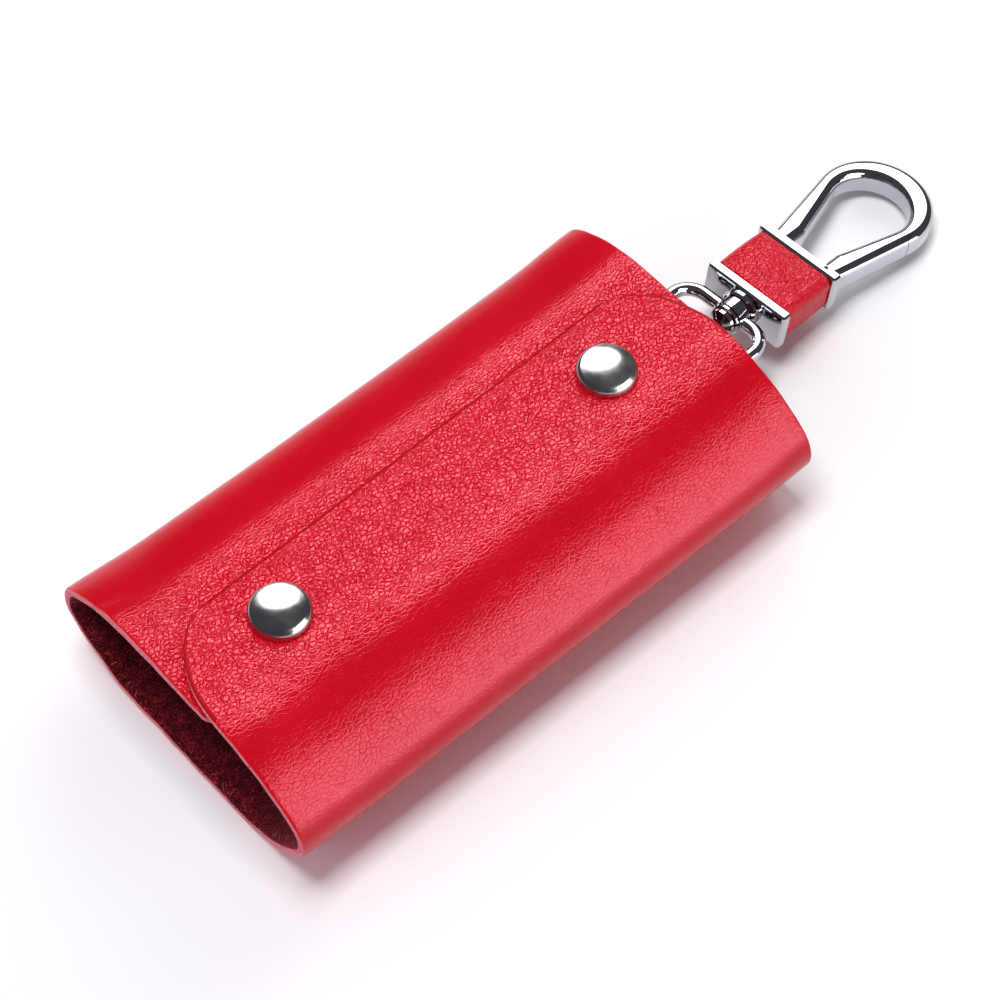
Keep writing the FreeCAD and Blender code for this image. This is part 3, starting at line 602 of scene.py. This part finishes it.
def band_rings(start, end):
    """Places along the bar with the band's swell there: on its outside, then on its inside."""
    length = end - start
    ticks = list(BAND_END_STEPS)
    ticks += [BAND_STEP * i for i in range(1, int(length / BAND_STEP))]
    ticks += [length - t for t in BAND_END_STEPS[::-1]]
    outer = []
    for t in ticks:
        puff = BAND_BULGE * (1 - abs(2 * t / length - 1) ** BAND_BULGE_POWER)
        outer.append((start + t, puff - edge_drop(min(t, length - t))))
    hollow = edge_drop(0) - BAND_WALL
    return outer, [(end, hollow), (start, hollow)]


def band_outline(half_width, half_height):
    """Points round the rectangle of the band's corner centres, each with its way outward."""
    straight_y = half_width - BAND_CORNER
    straight_z = half_height - BAND_CORNER
    outline = []
    for quarter, (ay, az) in enumerate(BAND_CORNERS):
        by, bz = BAND_CORNERS[(quarter + 1) % len(BAND_CORNERS)]
        for k in range(BAND_CORNER_STEPS + 1):
            angle = math.pi / 2 * (quarter + k / BAND_CORNER_STEPS)
            outline.append((ay * straight_y, az * straight_z, math.cos(angle), math.sin(angle)))
        for k in range(1, BAND_FLAT_STEPS):
            t = k / BAND_FLAT_STEPS
            y = straight_y * (ay + (by - ay) * t)
            z = straight_z * (az + (bz - az) * t)
            outline.append((y, z, *BAND_FLATS[quarter]))
    return outline


def make_band():
    """Leather band round the clip's bar, between the end plates."""
    origin = Vector(joints["clip_swivel"]["pos_m"])
    axes = [Vector(joints[name]["axis"]) for name in BAND_AXES]
    (start, end), (_, half_width), (_, half_height) = band_spans(origin, axes)
    outer, hollow = band_rings(start, end)
    rings = outer + hollow
    outline = band_outline(half_width, half_height)
    points = []
    flat = []
    for x, swell in rings:
        walked = 0.0
        previous = None
        for cy, cz, ny, nz in outline:
            spot = Vector((x / CRUMPLE_LENGTH, cy / CRUMPLE_LENGTH, cz / CRUMPLE_LENGTH + ny))
            crumple = BAND_CRUMPLE * noise.noise(spot)
            wide = max(BAND_CORNER + swell + crumple, BAND_LEAST_CORNER)
            place = Vector((x, cy + ny * wide, cz + nz * wide))
            if previous is not None:
                walked += (place - previous).length
            previous = place
            away = axes[0] * place.x + axes[1] * place.y + axes[2] * place.z
            points.append(origin + away * MM)
            flat.append((place.x, walked))
    around = len(outline)
    faces = []
    kinds = []
    for r in range(len(rings)):
        a = r * around
        b = (r + 1) % len(rings) * around
        for c in range(around):
            d = (c + 1) % around
            faces.append((a + c, a + d, b + d, b + c))
            kinds.append(GRAIN if r < len(outer) - 1 else SUEDE)
    return add_object("clip_band", new_mesh("clip_band", points, faces, kinds, flat))


class Look:
    """A new material, with short ways to add to its nodes."""

    def __init__(self, name):
        self.material = bpy.data.materials.new(name)
        self.material.use_nodes = True
        self.nodes = self.material.node_tree.nodes
        self.links = self.material.node_tree.links
        self.shader = self.nodes["Principled BSDF"]

    def put(self, socket, value):
        """Give a socket its plain value, or link it to another."""
        if isinstance(value, bpy.types.NodeSocket):
            self.links.new(value, socket)
        else:
            socket.default_value = value

    def surface(self, **inputs):
        """Put values on the shader; underscores stand for the blanks in its sockets' names."""
        for key, value in inputs.items():
            self.put(self.shader.inputs[key.replace("_", " ")], value)

    def leather_place(self):
        """Leather coordinates."""
        return self.nodes.new("ShaderNodeUVMap").outputs["UV"]

    def object_place(self):
        """Coordinates of the object itself."""
        return self.nodes.new("ShaderNodeTexCoord").outputs["Object"]

    def texture(self, kind, vector, **settings):
        """Texture node; settings name its sockets and its properties."""
        node = self.nodes.new(kind)
        for key, value in settings.items():
            if key in node.inputs:
                node.inputs[key].default_value = value
            else:
                setattr(node, key, value)
        self.links.new(vector, node.inputs["Vector"])
        return node

    def cloud(self, vector, **settings):
        """Level of a noise texture."""
        return self.texture("ShaderNodeTexNoise", vector, **settings).outputs["Fac"]

    def cells(self, vector, **settings):
        """Distance in a flat pattern of cells."""
        node = self.texture("ShaderNodeTexVoronoi", vector, voronoi_dimensions="2D", **settings)
        return node.outputs["Distance"]

    def ramp(self, value, stops):
        """Colours by the level of a value; each stop is a place and a colour."""
        node = self.nodes.new("ShaderNodeValToRGB")
        self.links.new(value, node.inputs["Fac"])
        elements = node.color_ramp.elements
        while len(elements) < len(stops):
            elements.new(0.5)
        for element, (position, colour) in zip(elements, stops):
            element.position = position
            element.color = (*colour, 1)
        return node.outputs["Color"]

    def levels(self, value, stops):
        """Ramp between plain numbers."""
        return self.ramp(value, [(place, (level, level, level)) for place, level in stops])

    def maths(self, operation, a, b):
        """Sum, difference or product of two values."""
        node = self.nodes.new("ShaderNodeMath")
        node.operation = operation
        self.put(node.inputs[0], a)
        self.put(node.inputs[1], b)
        return node.outputs[0]

    def relief(self, height, depth, strength):
        """Bump on the shader."""
        bump = self.nodes.new("ShaderNodeBump")
        self.put(bump.inputs["Height"], height)
        self.put(bump.inputs["Distance"], depth * MM)
        self.put(bump.inputs["Strength"], strength)
        self.links.new(bump.outputs["Normal"], self.shader.inputs["Normal"])


def bent_place(look, place):
    """Leather coordinates bent and stretched for the cells of the grain."""
    warp = look.texture("ShaderNodeTexNoise", place, Scale=48.0, Detail=3.0)
    shift = look.nodes.new("ShaderNodeVectorMath")
    shift.operation = "MULTIPLY_ADD"
    look.put(shift.inputs[0], warp.outputs["Color"])
    look.put(shift.inputs[1], WARP_SHIFT)
    look.put(shift.inputs[2], place)
    stretch = look.nodes.new("ShaderNodeMapping")
    look.put(stretch.inputs["Vector"], shift.outputs[0])
    look.put(stretch.inputs["Rotation"], CELL_TURN)
    look.put(stretch.inputs["Scale"], CELL_STRETCH)
    return stretch.outputs[0]


def grain_leather(name, depths, gloss):
    """Red leather: pebbled grain with broken creases, as deep along the leather as depths says."""
    look = Look(name)
    place = look.leather_place()
    bent = bent_place(look, place)
    wide = look.cells(bent, Scale=88.0, feature="DISTANCE_TO_EDGE")
    middling = look.cells(bent, Scale=150.0, feature="DISTANCE_TO_EDGE")
    small = look.cells(bent, Scale=430.0)
    breaks = look.cloud(place, Scale=40.0, Detail=2.0)
    pores = look.cloud(place, Scale=520.0, Detail=4.0, Roughness=0.6)
    region = look.cloud(place, Scale=6.0, Detail=2.0)
    creases = look.levels(wide, CREASE_LEVELS)
    pebbles = look.levels(middling, PEBBLE_LEVELS)
    specks = look.levels(small, SPECK_LEVELS)
    height = look.maths("MULTIPLY", creases, look.levels(breaks, CREASE_SHARES))
    for layer, share in ((pebbles, PEBBLE_SHARE), (specks, SPECK_SHARE), (pores, PORE_SHARE)):
        height = look.maths("ADD", height, look.maths("MULTIPLY", layer, share))
    parts = look.nodes.new("ShaderNodeSeparateXYZ")
    look.put(parts.inputs[0], place)
    along = look.maths("MULTIPLY", parts.outputs["Y"], GRAIN_PACE)
    strength = look.levels(look.maths("ADD", along, GRAIN_MIDDLE), depths)
    look.relief(height, GRAIN_DEPTH, strength)
    # Lighter red on the pebble tops where the grain is deepest, over the crown: partly rubbed wear, partly painted
    # highlight
    rubbed_and_highlight = look.maths("MULTIPLY", strength, specks)
    shade = look.nodes.new("ShaderNodeMix")
    shade.data_type = "RGBA"
    look.put(shade.inputs["Factor"], look.maths("MULTIPLY", rubbed_and_highlight, RUBBED_AND_HIGHLIGHT_SHARE))
    look.put(shade.inputs["A"], look.ramp(region, HIDE_REDS))
    look.put(shade.inputs["B"], RUBBED_AND_HIGHLIGHT_RED)
    matt = look.levels(pores, HIDE_ROUGHNESS)
    polish = look.maths("MULTIPLY", strength, RUBBED_POLISH)
    look.surface(Base_Color=shade.outputs["Result"], Roughness=look.maths("SUBTRACT", matt, polish),
                 Specular_IOR_Level=gloss, Specular_Tint=HIDE_SHINE)
    return look.material


def suede():
    """Dark flesh side of the leather, with a short nap."""
    look = Look("maroon_suede")
    place = look.leather_place()
    nap = look.cloud(place, Scale=300.0, Detail=6.0, Roughness=0.7)
    patch = look.cloud(place, Scale=60.0, Detail=3.0)
    mixed = look.maths("ADD", look.maths("MULTIPLY", nap, NAP_SHARE),
                       look.maths("MULTIPLY", patch, PATCH_SHARE))
    look.relief(nap, NAP_DEPTH, NAP_STRENGTH)
    look.surface(Base_Color=look.ramp(mixed, SUEDE_REDS), Roughness=0.95, Specular_IOR_Level=0.15,
                 Sheen_Weight=0.25, Sheen_Tint=SUEDE_SHEEN)
    return look.material


def raw_edge():
    """Cut edge: pink fibres with paler streaks."""
    look = Look("raw_leather_edge")
    fibre = look.cloud(look.leather_place(), Scale=500.0, Detail=5.0, Roughness=0.75)
    look.relief(fibre, EDGE_DEPTH, NAP_STRENGTH)
    look.surface(Base_Color=look.ramp(fibre, EDGE_PINKS), Roughness=0.9, Specular_IOR_Level=0.2)
    return look.material


def painted_shade_line():
    """Painted shade: narrow line along a flap's free edge and corners, darker than the grain."""
    look = Look("painted_shade_line")
    line_mottle = look.cloud(look.leather_place(), Scale=160.0, Detail=3.0)
    look.surface(Base_Color=look.ramp(line_mottle, SHADED_LINE_REDS), Roughness=look.levels(line_mottle, LINE_ROUGHNESS),
                 Specular_IOR_Level=0.08, Specular_Tint=LINE_SHINE)
    return look.material


def bright_metal(name, colour, roughness, marks):
    """Polished plating with faint handling marks."""
    look = Look(name)
    place = look.object_place()
    smudge = look.cloud(place, Scale=240.0, Detail=4.0)
    rough = ((0.35, roughness * SMUDGE_LEAST), (0.75, roughness * SMUDGE_MOST))
    tint = ((0.2, tuple(c * SMUDGE_TINT for c in colour)), (0.8, colour))
    look.relief(look.cloud(place, Scale=1800.0, Detail=2.0), MARK_DEPTH, marks)
    look.surface(Base_Color=look.ramp(smudge, tint), Roughness=look.levels(smudge, rough),
                 Metallic=1.0)
    return look.material


def pale_floor():
    """Matt white, faintly mottled."""
    look = Look("pale_floor")
    mottle = look.cloud(look.object_place(), Scale=3.0, Detail=2.0)
    look.surface(Base_Color=look.ramp(mottle, FLOOR_COLOURS), Roughness=0.6,
                 Specular_IOR_Level=0.25)
    return look.material


def drill(piece, fibres, holes):
    """Cut round holes, each a list of (radius, z) steps from the bottom up, then add the fibres."""
    points = []
    faces = []
    for x, y, steps in holes:
        faces += tube_faces(len(points), len(steps), HOLE_SIDES)
        for radius, z in steps:
            for k in range(HOLE_SIDES):
                angle = 2 * math.pi * k / HOLE_SIDES
                place = Vector((x + radius * math.cos(angle), y + radius * math.sin(angle), z))
                points.append(tuple(place * MM))
    mesh = bpy.data.meshes.new("cutter")
    mesh.from_pydata(points, [], faces)
    mesh.polygons.foreach_set("material_index", [EDGE] * len(faces))
    cutter = add_object("cutter", mesh)
    change = piece.modifiers.new("holes", "BOOLEAN")
    change.object = cutter
    change.solver = "EXACT"
    shape = bpy.context.evaluated_depsgraph_get()
    drilled = bpy.data.meshes.new_from_object(piece.evaluated_get(shape))
    piece.modifiers.clear()
    bpy.data.objects.remove(cutter)
    whole = bmesh.new()
    whole.from_mesh(drilled)
    whole.from_mesh(fibres)
    whole.to_mesh(drilled)
    whole.free()
    piece.data = drilled


def snap_holes(radius):
    """Holes for both snaps through the top of the case."""
    steps = [(radius, FOLD_HEIGHT), (radius, CASE_HEIGHT + LEATHER)]
    return [(x, y, steps) for x, y in snap_places]


def rivet_hole(side):
    """Stepped hole for the rivet on one side of the back."""
    steps = [
        (RIVET_HEAD_HOLE, -LEATHER),
        (RIVET_HEAD_HOLE, RIVET_HEAD_DEPTH),
        (RIVET_HOLE, RIVET_HEAD_DEPTH),
        (RIVET_HOLE, 2 * LEATHER),
    ]
    return RIVET_X, side * RIVET_Y, steps


def make_leather():
    """Both halves of the case and the clip's band, in the same hide."""
    outer, outer_fibres = leather_half(
        "case_outer_half", outer_half_section(), side=-1,
        corner=OUTER_CORNER, corner_run=OUTER_CORNER_RUN, skew=OUTER_EDGE_SKEW)
    inner, inner_fibres = leather_half(
        "case_inner_half", inner_half_section(), side=1,
        corner=INNER_CORNER, corner_run=INNER_CORNER_RUN, skew=0.0)
    band = make_band()
    hide = grain_leather("red_leather_grain", GRAIN_STRENGTH, HIDE_GLOSS)
    wrap = grain_leather("red_leather_band", BAND_STRENGTH, BAND_GLOSS)
    others = (suede(), raw_edge(), painted_shade_line())
    for piece, grain in ((outer, hide), (inner, hide), (band, wrap)):
        for material in (grain, *others):
            piece.data.materials.append(material)
    drill(outer, outer_fibres, snap_holes(SOCKET_HOLE) + [rivet_hole(-1)])
    drill(inner, inner_fibres, snap_holes(POST_HOLE) + [rivet_hole(1)])
    return outer, inner, band


def make_floor():
    """Wide floor under the case, for the picture only."""
    bpy.ops.mesh.primitive_plane_add(size=FLOOR_SIZE * MM, location=(0, 0, 0))
    floor = bpy.context.object
    floor.name = "floor"
    floor.data.materials.append(pale_floor())


def make_camera():
    """Camera that looks at its target from the photograph's angle."""
    data = bpy.data.cameras.new("camera")
    data.lens = FOCAL_LENGTH
    data.sensor_width = SENSOR_WIDTH
    data.clip_start = CAMERA_CLIP_START * MM
    camera = add_object("camera", data)
    level = math.cos(CAMERA_ELEVATION)
    back = Vector((math.sin(CAMERA_AZIMUTH) * level, -math.cos(CAMERA_AZIMUTH) * level,
                   math.sin(CAMERA_ELEVATION)))
    camera.location = (CAMERA_TARGET + back * CAMERA_DISTANCE) * MM
    camera.rotation_euler = back.to_track_quat("Z", "Y").to_euler()
    bpy.context.scene.camera = camera


def make_softbox(name, direction, distance, size, radiance, colour=(1, 1, 1), mirrored=True,
                 lights=True, metal=None, shape="RECTANGLE"):
    """Flat light that faces the case, its width along X; direction points from the case to it.

    It can be left out of reflections (mirrored) or shown in them alone (lights), and kept to the
    metal pieces or off them (metal, as in aim).
    """
    data = bpy.data.lights.new(name, "AREA")
    data.shape = shape
    data.size, data.size_y = size
    data.energy = radiance * math.pi * size[0] * size[1]
    data.color = colour
    light = add_object(name, data)
    light.visible_camera = False
    light.visible_glossy = mirrored
    light.visible_diffuse = lights
    away = Vector(direction).normalized()
    wide = (Vector((1, 0, 0)) - away * away.x).normalized()
    turn = Matrix((wide, away.cross(wide), away)).transposed().to_4x4()
    light.matrix_world = Matrix.Translation(away * distance) @ turn
    if metal:
        aim(light, metal)


def aim(light, state):
    """Let a light reach the metal pieces alone (INCLUDE) or everything but them (EXCLUDE)."""
    metal = bpy.data.collections.new(light.name + "_metal")
    for name, slot in slots.items():
        if slot in METALS:
            metal.objects.link(frame["nodes"][name])
    for piece in metal.collection_objects:
        piece.light_linking.link_state = state
    light.light_linking.receiver_collection = metal


def make_lights():
    """Faint light from all round, the softboxes, and a plain rendering of their colours."""
    world = bpy.data.worlds.new("studio")
    bpy.context.scene.world = world
    world.use_nodes = True
    shade = world.node_tree.nodes["Background"]
    shade.inputs["Color"].default_value = WORLD_COLOUR
    shade.inputs["Strength"].default_value = WORLD_STRENGTH
    for name, direction, distance, size, radiance, special in SOFTBOXES:
        make_softbox(name, direction, distance, size, radiance, **special)
    bpy.context.scene.view_settings.view_transform = "Standard"
    bpy.context.scene.view_settings.look = "None"


def dress_metal():
    """Plating on the CAD's metal pieces."""
    finishes = {slot: bright_metal(*plating) for slot, plating in METALS.items()}
    for name, node in frame["nodes"].items():
        finish = finishes.get(slots[name])
        if finish:
            node.data.materials.clear()
            node.data.materials.append(finish)


make_camera()
make_floor()
make_lights()
dress_metal()
outer_half, inner_half, clip_band = make_leather()
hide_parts("outer_flap", "back_panel")
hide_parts("inner_flap")
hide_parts("clip_sleeve")
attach(clip_band, "clip")
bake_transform(outer_half)
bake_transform(inner_half)
